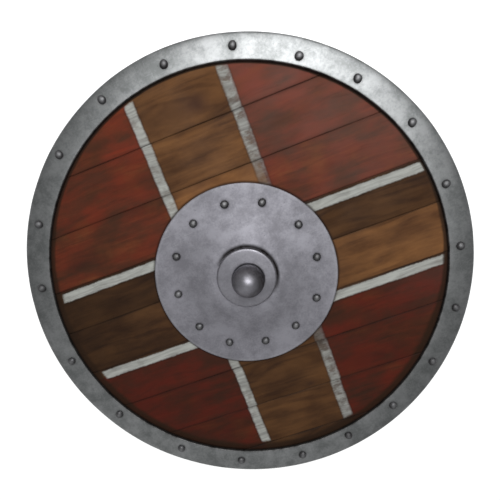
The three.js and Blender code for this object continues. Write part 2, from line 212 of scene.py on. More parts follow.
def plank_mesh(number):
    """Points, faces and attributes of one plank, closed round its face, back, edges and hole"""
    (_, low, back_z), (_, high, face_z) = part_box(f"plank_{number}")
    low = max(low - JOINT_SWELL, -BOARD_RADIUS + ARC_LEFT)
    high = min(high + JOINT_SWELL, BOARD_RADIUS - ARC_LEFT)
    rows = plank_rows(low, high)
    points, faces, first = [], [], 0
    for side in (1, -1):
        x, y, hole = half_plank(rows, side)
        front = face_z - plank_relief(x, y, low, high, number)
        rear = back_z + plank_relief(x, y, low, high, number) * BACK_RELIEF
        size = x.size
        for z in (front, rear):
            points.append(np.stack([x, y, z], axis=-1).reshape(-1, 3))
        at = np.arange(size).reshape(x.shape) + first
        for shift in (0, size):
            grid = at + shift
            quads = np.stack([grid[:-1, :-1], grid[:-1, 1:], grid[1:, 1:], grid[1:, :-1]], axis=-1)
            faces += quads.reshape(-1, 4).tolist()
        borders = [at[0], at[-1], at[:, -1]]
        for k in range(len(rows) - 1):
            if hole[k] > 0 or hole[k + 1] > 0:
                borders.append(at[k:k + 2, 0])
        for border in borders:
            for a, b in zip(border[:-1].tolist(), border[1:].tolist()):
                faces.append((a, b, b + size, a + size))
        first += 2 * size
    points = np.concatenate(points)
    x, y = points[:, 0], points[:, 1]
    flow, knot = knots_at(x, y)
    joint = np.exp(-np.minimum(y - low, high - y) / JOINT_DIRT_REACH)
    joint *= 0.45 + 0.75 * noise_field(x, y * 0 + number, 34 * MM, 1, 13)
    return points, faces, {"flow": flow, "knot": knot, "joint": np.clip(joint, 0, 1)}


def srgb(red, green, blue):
    """A colour as a picture shows it, 0 to 255, in the linear light that shaders use"""
    share = np.array([red, green, blue]) / 255
    linear = np.where(share <= 0.04045, share / 12.92, ((share + 0.055) / 1.055) ** 2.4)
    return (*linear.tolist(), 1.0)


def add_node(tree, kind, inputs, **settings):
    """A shader node with its settings, and each input either a value or what feeds it"""
    node = tree.nodes.new("ShaderNode" + kind)
    for name, value in settings.items():
        setattr(node, name, value)
    for socket, value in inputs.items():
        if isinstance(value, bpy.types.NodeSocket):
            tree.links.new(value, node.inputs[socket])
        else:
            node.inputs[socket].default_value = value
    return node


def maths(tree, operation, *values):
    """A number worked out from other numbers"""
    return add_node(tree, "Math", dict(enumerate(values)), operation=operation).outputs[0]


def measure(tree, operation, *vectors):
    """A number worked out from vectors, such as a length or a distance"""
    node = add_node(tree, "VectorMath", dict(enumerate(vectors)), operation=operation)
    return node.outputs["Value"]


def attribute(tree, name):
    """The number of that name that the mesh holds at each of its points"""
    return add_node(tree, "Attribute", {}, attribute_name=name).outputs["Fac"]


def fade(tree, value, start, end, low=0.0, high=1.0):
    """Low before start and high after end, with a smooth change between them"""
    inputs = {0: value, 1: start, 2: end, 3: low, 4: high}
    return add_node(tree, "MapRange", inputs, interpolation_type="SMOOTHSTEP").outputs[0]


def coat(tree, share, under, over):
    """A share of one colour over another"""
    return add_node(tree, "Mix", {0: share, 6: under, 7: over}, data_type="RGBA").outputs[2]


def speckle(tree, place, scale, detail=2.0, roughness=0.5):
    """Noise with its own scale along X, Y and Z, in spots per metre"""
    scaled = add_node(tree, "VectorMath", {0: place, 1: scale}, operation="MULTIPLY").outputs[0]
    inputs = {"Vector": scaled, "Scale": 1.0, "Detail": detail, "Roughness": roughness}
    return add_node(tree, "TexNoise", inputs).outputs[0]


def new_material(name):
    """A new material, its node tree and the inputs of its surface"""
    material = bpy.data.materials.new(name)
    material.use_nodes = True
    return material, material.node_tree, material.node_tree.nodes["Principled BSDF"].inputs


def new_group(name, inputs, outputs):
    """A shader node group with named inputs and outputs, and its two end nodes"""
    group = bpy.data.node_groups.new(name, "ShaderNodeTree")
    for direction, sockets in (("INPUT", inputs), ("OUTPUT", outputs)):
        for label, kind in sockets.items():
            group.interface.new_socket(label, in_out=direction, socket_type="NodeSocket" + kind)
    return group, group.nodes.new("NodeGroupInput").outputs, group.nodes.new("NodeGroupOutput").inputs


def wire(group, ends, values):
    """Feeds each named output of a group"""
    for label, value in values.items():
        group.links.new(value, ends[label])


def use_group(tree, group, inputs):
    """Puts a group in a tree, and gives its outputs"""
    node = tree.nodes.new("ShaderNodeGroup")
    node.node_tree = group
    for label, value in inputs.items():
        if isinstance(value, bpy.types.NodeSocket):
            tree.links.new(value, node.inputs[label])
        else:
            node.inputs[label].default_value = value
    return node.outputs


# Turn of the year rings' wave across the planks, in radians per metre
RING_RATE = 430


def wood_grain_group():
    """Grain that runs along X: bands, year rings, fine fibres, dark pores, patches and stains"""
    outputs = ("Bands", "Rings", "Fibres", "Pores", "Patches", "Stains")
    group, given, made = new_group(
        "wood_grain", {"Place": "Vector", "Flow": "Float", "Shift": "Float"},
        {label: "Float" for label in outputs},
    )
    xyz = add_node(group, "SeparateXYZ", {0: given["Place"]}).outputs
    wander = speckle(group, given["Place"], (9, 30, 30), 2.0)
    wander = maths(group, "MULTIPLY_ADD", wander, 0.02, given["Flow"])
    along = maths(group, "ADD", xyz["X"], maths(group, "MULTIPLY", given["Shift"], 3.7))
    across = maths(group, "ADD", maths(group, "ADD", xyz["Y"], wander), given["Shift"])
    place = add_node(group, "CombineXYZ", {0: along, 1: across, 2: xyz["Z"]}).outputs[0]
    drift = maths(group, "MULTIPLY", speckle(group, place, (4, 16, 16), 2.0), 34)
    rings = maths(group, "SINE", maths(group, "MULTIPLY_ADD", across, RING_RATE, drift))
    strength = fade(group, speckle(group, place, (12, 40, 40), 1.0), 0.35, 0.65)
    wire(group, made, {
        "Bands": speckle(group, place, (8, 60, 60), 3.0, 0.55),
        "Rings": maths(group, "MULTIPLY", fade(group, rings, -0.3, 1.0), strength),
        "Fibres": speckle(group, place, (26, 300, 300), 3.0, 0.55),
        "Pores": fade(group, speckle(group, place, (20, 200, 200), 2.0), 0.58, 0.74),
        "Patches": speckle(group, place, (17, 24, 24), 4.0, 0.55),
        "Stains": fade(group, speckle(group, place, (11, 30, 30), 3.0), 0.54, 0.72),
    })
    return group


# The painted cross, in mm. The stripes end short of the rim, and the red lies beyond a line on
# each side of the cross: where the line is, and how soft the edge is there
BRUSH_SHAKE, BRUSH_ROUGHNESS = 2.2, 1.6
STRIPE_END, STRIPE_END_SOFT = 266, 2.5
RED_RIGHT, RED_LEFT, RED_UP, RED_DOWN = (69.5, 1.5), (-64.5, -1.5), (65.5, 1.0), (-74, -1.0)


def painted_cross_group():
    """Where red paint and white stripes lie on the board, with edges that follow the brush"""
    group, given, made = new_group(
        "painted_cross", {"Place": "Vector", "Slip": "Float"},
        {"Red": "Float", "White": "Float", "Worn": "Float", "Beside": "Float"},
    )
    shaky = maths(group, "ADD", speckle(group, given["Place"], (60, 60, 60), 2.0), -0.5)
    shaky = maths(group, "MULTIPLY", shaky, BRUSH_SHAKE * MM)
    rough = maths(group, "ADD", speckle(group, given["Place"], (330, 330, 330), 2.0), -0.5)
    shaky = maths(group, "MULTIPLY_ADD", rough, BRUSH_ROUGHNESS * MM, shaky)
    xyz = add_node(group, "SeparateXYZ", {0: given["Place"]}).outputs
    x = maths(group, "ADD", maths(group, "ADD", xyz["X"], given["Slip"]), shaky)
    y = maths(group, "ADD", xyz["Y"], shaky)
    # Stripes: the way across, middle, half width, softness in mm, and wear
    stripes = [
        (y, 56, 6.2, 1.3, 0.15), (y, -71, 6.2, 1.3, 0.15), (x, -61.5, 6.2, 1.8, 0.35),
        (x, 66.5, 6.4, 2.4, 0.8),
    ]
    # The most worn stripe is nearly rubbed away beside the boss
    radius = measure(group, "LENGTH", given["Place"])
    near_boss = fade(group, radius, 130 * MM, 175 * MM, 0.3, 1.0)
    white, worn, beside = 0.0, 0.0, 0.0
    for value, middle, half, soft, wear in stripes:
        off = maths(group, "ABSOLUTE", maths(group, "SUBTRACT", value, middle * MM))
        mask = fade(group, off, (half + soft) * MM, (half - soft) * MM)
        side = fade(group, off, (half + 4.0) * MM, (half + 0.5) * MM)
        kept = maths(group, "MULTIPLY", mask, near_boss) if wear > 0.5 else mask
        white = maths(group, "MAXIMUM", kept, white)
        worn = maths(group, "MAXIMUM", maths(group, "MULTIPLY", mask, wear), worn)
        beside = maths(group, "MAXIMUM", side, beside)
    up = measure(group, "DOT_PRODUCT", given["Place"], turned_to_shield(0.35, 0.94, 0))
    out = maths(group, "SUBTRACT", radius, maths(group, "MULTIPLY", up, 0.021))
    out = maths(group, "ADD", out, maths(group, "MULTIPLY", shaky, 2.0))
    inside = fade(
        group, out, (STRIPE_END + STRIPE_END_SOFT) * MM, (STRIPE_END - STRIPE_END_SOFT) * MM,
    )
    right, left, above, below = [
        fade(group, value, (line - soft) * MM, (line + soft) * MM)
        for value, (line, soft) in ((x, RED_RIGHT), (x, RED_LEFT), (y, RED_UP), (y, RED_DOWN))
    ]
    wide = maths(group, "MAXIMUM", right, left)
    tall = maths(group, "MAXIMUM", above, below)
    wire(group, made, {
        "Red": maths(group, "MULTIPLY", wide, tall),
        "White": maths(group, "MULTIPLY", white, inside),
        "Worn": worn,
        "Beside": maths(group, "MULTIPLY", beside, inside),
    })
    return group


# The board shows as far out as the rim's lip. A band of dirt and painted shade reaches in from there,
# by these depths
SHOWN_RADIUS = 271.5 * MM
DIRT_AND_SHADE_AT_TOP, DIRT_AND_SHADE_AT_BOTTOM = 3 * MM, 13 * MM


def board_dirt_and_shade_group():
    """Painted shade and soiling held by the rim, deepest at the picture's lower edge; painted shadow
    at lip and boss
    """
    group, given, made = new_group(
        "board_dirt_and_shade", {"Place": "Vector", "Dirty_and_shaded": "Float"},
        {"Rim": "Float", "Lip_shade": "Float", "Boss": "Float"},
    )
    flat = add_node(
        group, "VectorMath", {0: given["Place"], 1: (1, 1, 0)}, operation="MULTIPLY",
    ).outputs[0]
    radius = measure(group, "LENGTH", flat)
    up = measure(group, "DOT_PRODUCT", given["Place"], turned_to_shield(0, 1, 0))
    # Painted shade: the band inside the rim is deeper towards the picture's lower edge
    depth = fade(group, up, 240 * MM, -200 * MM, DIRT_AND_SHADE_AT_TOP, DIRT_AND_SHADE_AT_BOTTOM)
    depth = maths(group, "MULTIPLY", depth, maths(group, "MULTIPLY_ADD", given["Dirty_and_shaded"], 1.0, 0.5))
    start = maths(group, "SUBTRACT", SHOWN_RADIUS, depth)
    end = maths(group, "MULTIPLY_ADD", depth, 0.55, start)
    boss_low, boss_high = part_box("boss")
    middle = ((boss_low + boss_high) / 2 * Vector((1, 1, 0)))[:]
    from_boss = measure(group, "DISTANCE", flat, middle)
    edge = (boss_high.y - boss_low.y) / 2
    # Painted shadow: a dark line at the foot of the rim's lip, and a dark ring round the boss's edge
    wire(group, made, {
        "Rim": fade(group, radius, start, end),
        "Lip_shade": fade(group, radius, SHOWN_RADIUS - 2.5 * MM, SHOWN_RADIUS),
        "Boss": fade(group, from_boss, edge + 4.5 * MM, edge + 0.5 * MM),
    })
    return group


wood_grain = wood_grain_group()
painted_cross = painted_cross_group()
board_dirt_and_shade = board_dirt_and_shade_group()

BARE_DARK, BARE_LIGHT = srgb(72, 45, 26), srgb(134, 92, 54)
RED_DARK, RED_LIGHT = srgb(74, 42, 28), srgb(122, 34, 20)
WHITE_DULL, WHITE_CLEAN = srgb(150, 150, 146), srgb(192, 194, 188)
# Dark colours for dirt and for painted shade
DIRT_AND_SHADE_DARK, DIRT_AND_SHADE_BROWN = srgb(22, 14, 9), srgb(44, 28, 15)
LIGHTER_OVER = 0.25
# For each plank: tone of its wood, tone of its paint, how much lighter both grow to the right
# over that length in metres, how well the red covers, and how far in mm its piece of the
# stripes is out of line
# The tones are partly painted light: the upper planks are lighter and each grows lighter to the right,
# as light from the upper right would make them; the rest is each plank's own colour
PLANKS = [
    (1.00, 1.25, 0.05, 0.85, 0.6), (1.12, 1.05, 0.14, 0.85, -0.3), (1.60, 0.92, 0.08, 0.88, -0.8),
    (0.44, 0.72, 0.11, 0.90, 0.0), (0.86, 0.74, 0.52, 0.90, 0.0), (0.64, 0.68, 0.05, 0.95, 0.5),
    (0.64, 0.64, 0.06, 0.95, -0.5), (0.74, 0.64, 0.08, 0.95, 0.7), (0.54, 0.66, 0.05, 0.90, 0.0),
]


def toned(tree, place, colour, tone, lighter):
    """A colour of a plank, lighter or darker as a whole and lighter still to the right"""
    across = add_node(tree, "SeparateXYZ", {0: place}).outputs["X"]
    scale = maths(tree, "MULTIPLY_ADD", across, lighter / LIGHTER_OVER, tone)
    return add_node(tree, "VectorMath", {0: colour, "Scale": scale}, operation="SCALE").outputs[0]


def plank_material(number):
    """Bare wood, then red, then white paint, then soiling and painted shade, each worn through along
    the grain
    """
    wood_tone, paint_tone, lighter, cover, slip = PLANKS[number - 1]
    material, tree, surface = new_material(f"painted_plank_{number}")
    place = add_node(tree, "TexCoord", {}).outputs["Object"]
    flow = attribute(tree, "flow")
    knot = attribute(tree, "knot")
    joint = attribute(tree, "joint")
    grain = use_group(tree, wood_grain, {"Place": place, "Flow": flow, "Shift": number * 0.37})
    paint = use_group(tree, painted_cross, {"Place": place, "Slip": slip * MM})
    dirt_and_shade = use_group(tree, board_dirt_and_shade, {"Place": place, "Dirty_and_shaded": grain["Patches"]})

    cloud = speckle(tree, place, (17, 32, 32), 4.0, 0.55)
    bands = fade(tree, grain["Bands"], 0.28, 0.72)
    fibres = fade(tree, grain["Fibres"], 0.3, 0.7)
    lit = maths(tree, "MULTIPLY_ADD", bands, 0.32, maths(tree, "MULTIPLY", fibres, 0.09))
    lit = maths(tree, "MULTIPLY_ADD", fade(tree, cloud, 0.3, 0.7), 0.4, lit)
    lit = maths(tree, "MULTIPLY_ADD", grain["Rings"], -0.2, lit)
    bare = coat(tree, lit, BARE_DARK, BARE_LIGHT)
    bare = coat(tree, maths(tree, "MULTIPLY", knot, 0.9), bare, srgb(62, 38, 32))
    bare = coat(tree, maths(tree, "MULTIPLY", grain["Stains"], 0.22), bare, srgb(48, 31, 20))

    red_lit = maths(tree, "MULTIPLY_ADD", bands, 0.2, maths(tree, "MULTIPLY", fibres, 0.07))
    red_lit = maths(tree, "MULTIPLY_ADD", fade(tree, cloud, 0.34, 0.66), 0.6, red_lit)
    red_lit = maths(tree, "MULTIPLY_ADD", grain["Rings"], -0.15, red_lit)
    red = coat(tree, red_lit, RED_DARK, RED_LIGHT)
    # Painted sheen: the red turns greyer towards the upper right, as a lamp's reflection would veil it
    painted_sheen_side = measure(tree, "DOT_PRODUCT", place, turned_to_shield(0.6, 0.8, 0))
    red = coat(tree, fade(tree, painted_sheen_side, 60 * MM, 240 * MM, 0.0, 0.2), red, srgb(120, 104, 98))
    red = coat(tree, maths(tree, "MULTIPLY", knot, 0.6), red, srgb(50, 24, 18))
    red = coat(tree, maths(tree, "MULTIPLY", grain["Stains"], 0.35), red, srgb(58, 30, 20))

    bare = toned(tree, place, bare, wood_tone, lighter)
    red = toned(tree, place, red, paint_tone, lighter)
    thin = maths(tree, "MULTIPLY", fade(tree, grain["Patches"], 0.5, 0.75), 0.25)
    thin = maths(tree, "MULTIPLY_ADD", fade(tree, grain["Fibres"], 0.5, 0.8), 0.12, thin)
    covered = maths(tree, "SUBTRACT", cover, thin)
    colour = coat(tree, maths(tree, "MULTIPLY", paint["Red"], covered), bare, red)

    colour = coat(tree, maths(tree, "MULTIPLY", paint["Beside"], 0.4), colour, DIRT_AND_SHADE_DARK)
    flakes = speckle(tree, place, (60, 100, 100), 3.0, 0.6)
    flaked = maths(tree, "MULTIPLY_ADD", paint["Worn"], 0.12, flakes)
    flaked = fade(tree, flaked, 0.5, 0.74)
    thin_white = maths(tree, "MULTIPLY", flaked, maths(tree, "MULTIPLY_ADD", paint["Worn"], 0.6, 0.1))
    thin_white = maths(tree, "MULTIPLY_ADD", paint["Worn"], 0.1, thin_white)
    dulled = maths(tree, "MULTIPLY_ADD", paint["Worn"], 0.25, grain["Fibres"])
    white = coat(tree, fade(tree, dulled, 0.35, 0.85), WHITE_CLEAN, WHITE_DULL)
    white_cover = maths(tree, "MULTIPLY", paint["White"], maths(tree, "SUBTRACT", 0.97, thin_white))
    colour = coat(tree, white_cover, colour, white)

    # Painted shade: the dark line at the rim's lip and the dark ring round the boss; the brown band
    # inside the rim is dirt and painted shade
    dark = maths(tree, "MULTIPLY", grain["Pores"], 0.15)
    dark = maths(tree, "MAXIMUM", dark, maths(tree, "MULTIPLY", joint, 0.65))
    dark = maths(tree, "MAXIMUM", dark, maths(tree, "MULTIPLY", dirt_and_shade["Lip_shade"], 0.6))
    dark = maths(tree, "MAXIMUM", dark, maths(tree, "MULTIPLY", dirt_and_shade["Boss"], 0.75))
    colour = coat(tree, maths(tree, "MULTIPLY", dirt_and_shade["Rim"], 0.85), colour, DIRT_AND_SHADE_BROWN)
    colour = coat(tree, dark, colour, DIRT_AND_SHADE_DARK)
    tree.links.new(colour, surface["Base Color"])
    tree.links.new(fade(tree, grain["Patches"], 0.3, 0.7, 0.62, 0.82), surface["Roughness"])
    surface["Specular IOR Level"].default_value = 0.2
    height = maths(tree, "SUBTRACT", grain["Fibres"], grain["Pores"])
    bump = add_node(tree, "Bump", {"Height": height, "Strength": 0.15, "Distance": 0.3 * MM})
    tree.links.new(bump.outputs[0], surface["Normal"])
    return material


for number in range(1, len(PLANKS) + 1):
    points, faces, attributes = plank_mesh(number)
    add_piece(
        f"painted_plank_{number}", points, faces, plank_material(number),
        [f"plank_{number}"], attributes,
    )

# The rim. A channel of sheet steel is bent round the board's edge, with a crowned front, a
# lip turned down to the wood and a flat flange behind. It is knocked, scratched and stained,
# and shade is painted along its lip and round its rivets.
RIM_OUTER, RIM_BACK, RIM_CROWN, LIP_OUTER, LIP_END = 305, 14.1, 33.25, 273.4, 28.7
RIM_SECTION = [
    (278, RIM_BACK, 0.4), (RIM_OUTER, RIM_BACK, 2.0), (RIM_OUTER, 31.6, 3.0),
    (296.5, RIM_CROWN, 6.0), (279.5, RIM_CROWN, 6.0), (271.6, 32.4, 1.6), (271.6, LIP_END, 0.3),
    (LIP_OUTER, LIP_END, 0.3), (LIP_OUTER, 31.0, 1.0), (296, 31.3, 4.0), (303, 29.8, 1.0),
    (303, 16.0, 0.5), (278, 16.0, 0.4),
]
RIM_SIDES = 880
LONGEST_STEP = 2.4
RIVET_FOOT = 5.2


def softened(section, closed=True):
    """A section of [radius, level, fillet] corners in mm, with its corners rounded"""
    corners = np.array(section, float)
    count = len(corners)
    outline = []
    for i, (r, z, fillet) in enumerate(corners):
        here = np.array([r, z])
        if fillet == 0 or (not closed and i in (0, count - 1)):
            outline.append(here)
            continue
        ends = []
        for other in (corners[i - 1, :2], corners[(i + 1) % count, :2]):
            way = other - here
            length = np.linalg.norm(way)
            ends.append(here + way / length * min(fillet, length * 0.45))
        steps = 5 if fillet >= 1 else 3
        for t in np.linspace(0, 1, steps):
            outline.append((1 - t) ** 2 * ends[0] + 2 * t * (1 - t) * here + t * t * ends[1])
    if closed:
        outline.append(outline[0])
    fine = []
    for a, b in zip(outline[:-1], outline[1:]):
        pieces = max(1, math.ceil(np.linalg.norm(b - a) / LONGEST_STEP))
        fine += [a + (b - a) * k / pieces for k in range(pieces)]
    if not closed:
        fine.append(outline[-1])
    return np.array(fine) * MM


def turned(outline, sides, closed=True):
    """Points and faces of an outline turned about Z"""
    angle = np.linspace(0, 2 * math.pi, sides, endpoint=False)[:, None]
    radius, level = outline[None, :, 0], outline[None, :, 1]
    points = np.stack(
        [radius * np.cos(angle), radius * np.sin(angle), level + 0 * angle], axis=-1,
    )
    count = len(outline)
    at = np.arange(sides * count).reshape(sides, count)
    ahead = np.roll(at, -1, axis=0)
    if closed:
        here, there = np.roll(at, -1, axis=1), np.roll(ahead, -1, axis=1)
        quads = np.stack([at, ahead, there, here], axis=-1)
    else:
        quads = np.stack([at[:, :-1], ahead[:, :-1], ahead[:, 1:], at[:, 1:]], axis=-1)
    return points.reshape(-1, 3), quads.reshape(-1, 4).tolist()


def knocked(points, depth, cell, seed):
    """Presses shallow knocks into a surface that faces up, in mm"""
    x, y = points[:, 0], points[:, 1]
    broad = noise_field(x, y, cell * MM, cell * MM, seed)
    small = noise_field(x, y, cell * 0.35 * MM, cell * 0.35 * MM, seed + 1)
    return (0.65 * broad + 0.35 * small) * depth * MM


def near_places(points, places, reach):
    """From 1 at a rivet's foot to 0 further off than a few times reach, in metres"""
    near = np.zeros(len(points))
    for x, y in places:
        away = np.hypot(points[:, 0] - x, points[:, 1] - y)
        near = np.maximum(near, np.exp(-np.maximum(away - RIVET_FOOT * MM, 0) / reach))
    return near


def middle_of(node):
    """Where a node's middle lies, along X and Y"""
    low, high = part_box(node)
    return (low.x + high.x) / 2, (low.y + high.y) / 2


def worn_steel_group():
    """Dull steel: clouds, crossing scratches and small pits, dark where soiling has settled and where
    shade is painted
    """
    group, given, made = new_group(
        "worn_steel",
        {"Place": "Vector", "Bright": "Color", "Dull": "Color", "Dirty_and_shaded": "Float", "Rub": "Float"},
        {"Color": "Color", "Roughness": "Float", "Height": "Float"},
    )
    place = given["Place"]
    clouds = speckle(group, place, (26, 26, 26), 3.0, 0.55)
    blotches = speckle(group, place, (75, 75, 75), 3.0, 0.6)
    grit = speckle(group, place, (380, 380, 380), 2.0, 0.6)
    scratches = maths(
        group, "MAXIMUM",
        fade(group, speckle(group, place, (30, 900, 200), 1.0), 0.68, 0.76),
        fade(group, speckle(group, place, (900, 40, 200), 1.0), 0.68, 0.76),
    )
    pits = fade(group, speckle(group, place, (420, 420, 420), 2.0), 0.68, 0.78)
    mottle = maths(group, "MULTIPLY_ADD", clouds, 0.45, maths(group, "MULTIPLY", blotches, 0.35))
    mottle = maths(group, "MULTIPLY_ADD", grit, 0.2, mottle)
    colour = coat(group, fade(group, mottle, 0.36, 0.64), given["Dull"], given["Bright"])
    colour = coat(group, maths(group, "MULTIPLY", scratches, 0.15), colour, srgb(215, 217, 218))
    colour = coat(group, maths(group, "MULTIPLY", given["Rub"], 0.5), colour, srgb(225, 226, 228))
    # The dirt input stands for real dirt and for painted shade alike
    stain_and_shade = maths(group, "MULTIPLY", given["Dirty_and_shaded"], fade(group, blotches, 0.3, 0.6, 0.95, 0.7))
    stain_and_shade = maths(group, "MAXIMUM", stain_and_shade, maths(group, "MULTIPLY", pits, 0.3))
    colour = coat(group, stain_and_shade, colour, srgb(42, 38, 37))
    rough = fade(group, mottle, 0.3, 0.7, 0.03, -0.03)
    rough = maths(group, "MULTIPLY_ADD", stain_and_shade, 0.2, rough)
    height = maths(group, "MULTIPLY_ADD", pits, -0.8, maths(group, "MULTIPLY", blotches, 0.4))
    height = maths(group, "MULTIPLY_ADD", grit, 0.25, height)
    height = maths(group, "MULTIPLY_ADD", scratches, -0.3, height)
    wire(group, made, {"Color": colour, "Roughness": rough, "Height": height})
    return group


worn_steel = worn_steel_group()


def steel_material(name, bright, dull, roughness, bump_depth, metallic=1.0):
    """Worn steel between two colours, with its bump in mm"""
    material, tree, surface = new_material(name)
    steel = use_group(tree, worn_steel, {
        "Place": add_node(tree, "TexCoord", {}).outputs["Object"],
        "Bright": bright,
        "Dull": dull,
        "Dirty_and_shaded": attribute(tree, "dirt_and_shade"),
        "Rub": attribute(tree, "rub"),
    })
    surface["Metallic"].default_value = metallic
    tree.links.new(steel["Color"], surface["Base Color"])
    rough = maths(tree, "ADD", steel["Roughness"], roughness)
    tree.links.new(rough, surface["Roughness"])
    bump = add_node(
        tree, "Bump", {"Height": steel["Height"], "Strength": 0.5, "Distance": bump_depth * MM},
    )
    tree.links.new(bump.outputs[0], surface["Normal"])
    return material


RIM_BRIGHT, RIM_DULL = srgb(176, 178, 179), srgb(136, 139, 139)
RIM_RIVET_COUNT = 20
rim_rivets = [f"rim_rivet_{i:02d}" for i in range(1, RIM_RIVET_COUNT + 1)]
rim_rivet_places = [middle_of(node) for node in rim_rivets]
points, faces = turned(softened(RIM_SECTION), RIM_SIDES)
radius = np.hypot(points[:, 0], points[:, 1])
facing_up = np.clip((points[:, 2] / MM - 31.4) / 1.2, 0, 1)
points[:, 2] -= knocked(points, 0.2, 38, 101) * facing_up
outermost = np.clip((radius / MM - 300) / 4, 0, 1)
inward = 1 - knocked(points, 0.5, 60, 103) / (RIM_OUTER * MM) * outermost
points[:, :2] *= inward[:, None]
# Painted shade: the lip's inner face is darkened, and dark rings of dirt and painted shade lie round
# the rivets' feet
lip = np.clip((LIP_OUTER - radius / MM) / 1.2, 0, 1) * (points[:, 2] / MM > LIP_END - 0.7)
rivet_dirt_and_shade = near_places(points, rim_rivet_places, 1.0 * MM) * facing_up
add_piece(
    "steel_rim", points, faces, steel_material("rim_steel", RIM_BRIGHT, RIM_DULL, 0.44, 0.06),
    ["rim"], {"dirt_and_shade": np.maximum(rivet_dirt_and_shade * 0.6, lip * 0.95), "rub": radius * 0},
)

# The rim's rivets. Each has a hammered round head on the rim and a flatter tail behind it,
# closed over after it went through the board. Their iron is darker than the rim.
RIVET_HEAD_RADIUS, RIVET_HEAD_HEIGHT, RIVET_SHANK_RADIUS = 5.7, 3.6, 3
RIVET_SIDES = 28
IRON_BRIGHT, IRON_DULL = srgb(118, 118, 120), srgb(80, 79, 80)
iron = steel_material("rivet_iron", IRON_BRIGHT, IRON_DULL, 0.55, 0.2)


def rivet_piece(node, seed):
    """A rivet in place of its node: a slightly uneven dome, its shank and its hammered tail"""
    low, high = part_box(node)
    x, y = middle_of(node)
    top, tail = high.z / MM, low.z / MM
    seat = top - RIVET_HEAD_HEIGHT
    section = [
        (0, tail + 0.2, 0), (3.4, tail + 0.5, 1.2), (5.0, tail + 2.0, 0.5),
        (RIVET_SHANK_RADIUS, tail + 2.1, 0), (RIVET_SHANK_RADIUS, seat - 0.4, 0),
        (RIVET_HEAD_RADIUS, seat - 0.4, 0), (RIVET_HEAD_RADIUS, seat + 0.9, 1.0),
        (4.3, seat + 2.9, 1.8), (1.6, top - 0.05, 1.2), (0, top - 0.05, 0),
    ]
    points, faces = turned(softened(section, closed=False), RIVET_SIDES, closed=False)
    chance = np.random.default_rng(seed)
    angle = np.arctan2(points[:, 1], points[:, 0])
    out = np.hypot(points[:, 0], points[:, 1]) / (RIVET_HEAD_RADIUS * MM)
    lobes = 1 - 0.035 * (1 + np.cos(2 * angle + chance.uniform(0, 6.28)))
    lobes -= 0.02 * (1 + np.cos(3 * angle + chance.uniform(0, 6.28)))
    points[:, :2] *= lobes[:, None]
    head = np.clip((points[:, 2] / MM - seat) / 2, 0, 1)
    points[:, 2] -= (0.35 * out * (1 + np.cos(angle + chance.uniform(0, 6.28))) * head) * MM
    skirt = np.clip(1 - (points[:, 2] / MM - seat) / 2.2, 0, 1)
    points[:, 0] += x
    points[:, 1] += y
    rub = np.clip(1 - out * 1.4, 0, 1) * head
    up = x * math.sin(PLANK_RISE) + y * math.cos(PLANK_RISE)
    # Painted shade: a dark ring at the foot of each head, stronger on rivets higher up the picture
    grime_and_shade = 0.2 + 0.45 * np.clip(0.5 + up / 0.3, 0, 1)
    add_piece(
        f"{node}_iron", points, faces, iron, [node],
        {"dirt_and_shade": skirt * grime_and_shade, "rub": rub * 0.6},
    )


for seed, node in enumerate(rim_rivets, 500):
    rivet_piece(node, seed)

# The boss. A low dome raised from one sheet of steel covers the hand hole, with a flat edge
# for its rivets. It has a bluish dull face, shallow hammer marks and a worn bright edge.
BOSS_BRIGHT, BOSS_DULL = srgb(177, 176, 184), srgb(149, 148, 155)
boss_low, boss_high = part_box("boss")
boss_x, boss_y = middle_of("boss")
BOSS_RADIUS = (boss_high.y - boss_low.y) / 2 / MM
BOSS_SEAT, BOSS_CROWN = boss_low.z / MM, boss_high.z / MM
BOSS_EDGE_HEIGHT, BOSS_FLANGE_RISE, BOSS_FLANGE_INNER, BOSS_CROWN_RADIUS = 2.6, 2.6, 89.5, 43.9
BOSS_STEEL = 2.5
BOSS_SIDES = 320
BOSS_RIVET_COUNT = 12
boss_rivets = [f"boss_rivet_{i:02d}" for i in range(1, BOSS_RIVET_COUNT + 1)]
boss_rivet_places = [middle_of(node) for node in boss_rivets]
knob_x, knob_y = middle_of("knob")
COLLAR_RADIUS = 39.5
# The sunk ring round the collar: how far off its middle is, its width and its depth in mm, and
# how dark its painted shade is, over 1 so that no steel shows through
GROOVE_OFF, GROOVE_WIDTH, GROOVE_DEPTH, GROOVE_SHADE = 1.3, 2.3, 1.2, 1.4


def boss_level(radius):
    """Level of the boss's outer face in mm, its flat edge blended into the dome"""
    spread = np.linspace(-9, 9, 19)
    out = np.clip(radius[:, None] + spread[None, :], 0, BOSS_RADIUS)
    flange_share = (BOSS_RADIUS - out) / (BOSS_RADIUS - BOSS_FLANGE_INNER)
    flange = BOSS_EDGE_HEIGHT + BOSS_FLANGE_RISE * flange_share
    t = np.clip((BOSS_FLANGE_INNER - out) / (BOSS_FLANGE_INNER - BOSS_CROWN_RADIUS), 0, 1)
    shape = 0.5 * t + 0.5 * t * t * (3 - 2 * t)
    full = BOSS_CROWN - FACE_Z / MM
    dome = BOSS_EDGE_HEIGHT + BOSS_FLANGE_RISE
    height = np.where(out > BOSS_FLANGE_INNER, flange, dome + (full - dome) * shape)
    return FACE_Z / MM + height.mean(axis=1)


def from_middle(points, x, y):
    """How far points lie from an upright axis, in metres, and on which side in the picture"""
    dx, dy = points[:, 0] - x, points[:, 1] - y
    return np.hypot(dx, dy), np.arctan2(dy, dx) + PLANK_RISE


def shadowed_side(angle):
    """1 at the upper right, where shade is painted round the collar, 0 at the lower left"""
    return np.clip((np.cos(angle - math.radians(65)) + 0.15) / 0.55, 0, 1)


